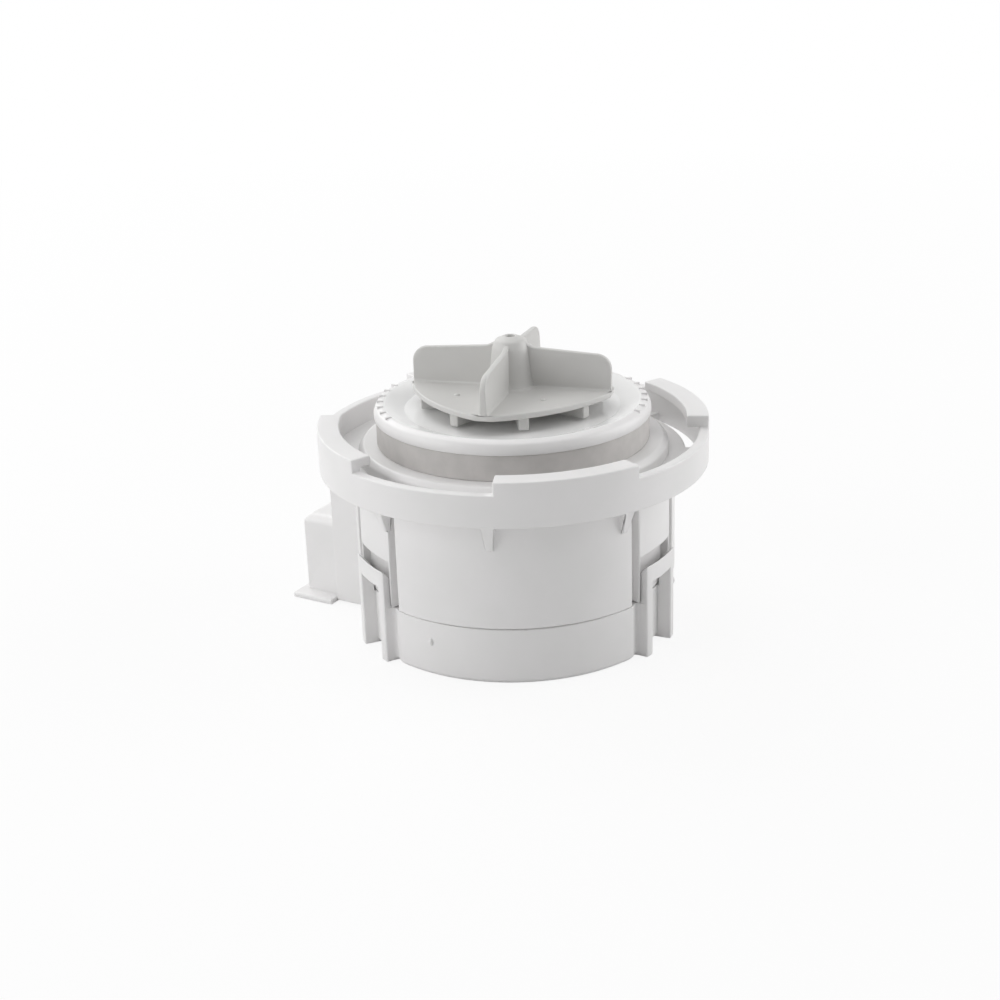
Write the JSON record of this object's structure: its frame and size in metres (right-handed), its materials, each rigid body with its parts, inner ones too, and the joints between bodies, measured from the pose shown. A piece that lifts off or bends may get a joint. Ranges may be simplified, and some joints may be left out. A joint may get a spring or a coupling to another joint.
{
  "type": "pump motor",
  "caption": "Round drain pump motor with a bayonet ring, a sealed spigot, an open vaned impeller on top, a clipped rear cap and a side power socket.",
  "frame": {"origin": "on the motor axis, at the rear face that it stands on", "axes": "+Z along the motor axis towards the impeller, -X towards the power socket"},
  "size_m": [0.087, 0.078, 0.0601],
  "materials": {
    "white_plastic": "fine moulded satin",
    "impeller_plastic": "fine moulded satin",
    "seal_rubber": "matte",
    "terminal_brass": "stamped",
    "core_steel": "stamped sheets, oiled",
    "bobbin_plastic": "moulded",
    "copper_wire": "enamelled",
    "bush_carbon": "sintered",
    "shaft_steel": "ground",
    "magnet_ferrite": "sintered",
    "coupling_plastic": "moulded"
  },
  "bodies": {
    "housing": {"motor_housing": "white_plastic", "bottom_cap": "white_plastic", "face_plate": "white_plastic", "connector_socket": "white_plastic", "chamber_seal": "seal_rubber", "rear_boot": "seal_rubber", "front_boot": "seal_rubber", "terminal_blade_a": "terminal_brass", "terminal_blade_b": "terminal_brass", "stator_yoke": "core_steel", "pole_piece_a": "core_steel", "pole_piece_b": "core_steel", "bobbin_a": "bobbin_plastic", "bobbin_b": "bobbin_plastic", "heat_cutout": "bobbin_plastic", "winding_a": "copper_wire", "winding_b": "copper_wire", "coil_jumper": "copper_wire", "lead_wire_a": "copper_wire", "lead_wire_b": "copper_wire", "rear_bush": "bush_carbon", "front_bush": "bush_carbon"},
    "rotor": {"rotor_shaft": "shaft_steel", "rotor_core": "coupling_plastic", "rotor_magnet": "magnet_ferrite", "thrust_washer_rear": "bush_carbon", "thrust_washer_front": "bush_carbon", "drive_dog": "coupling_plastic"},
    "wheel": {"impeller": "impeller_plastic", "coupling_cover": "coupling_plastic", "stop_damper": "seal_rubber"}
  },
  "joints": [
    {"name": "rotor_spin", "type": "hinge", "parent": "housing", "child": "rotor", "pos_m": [0, 0, 0.02], "axis": [0, 0, 1], "continuous": true},
    {"name": "impeller_play", "type": "hinge", "parent": "rotor", "child": "wheel", "pos_m": [0, 0, 0.045], "axis": [0, 0, 1], "range_deg": [-110, 110]}
  ]
}
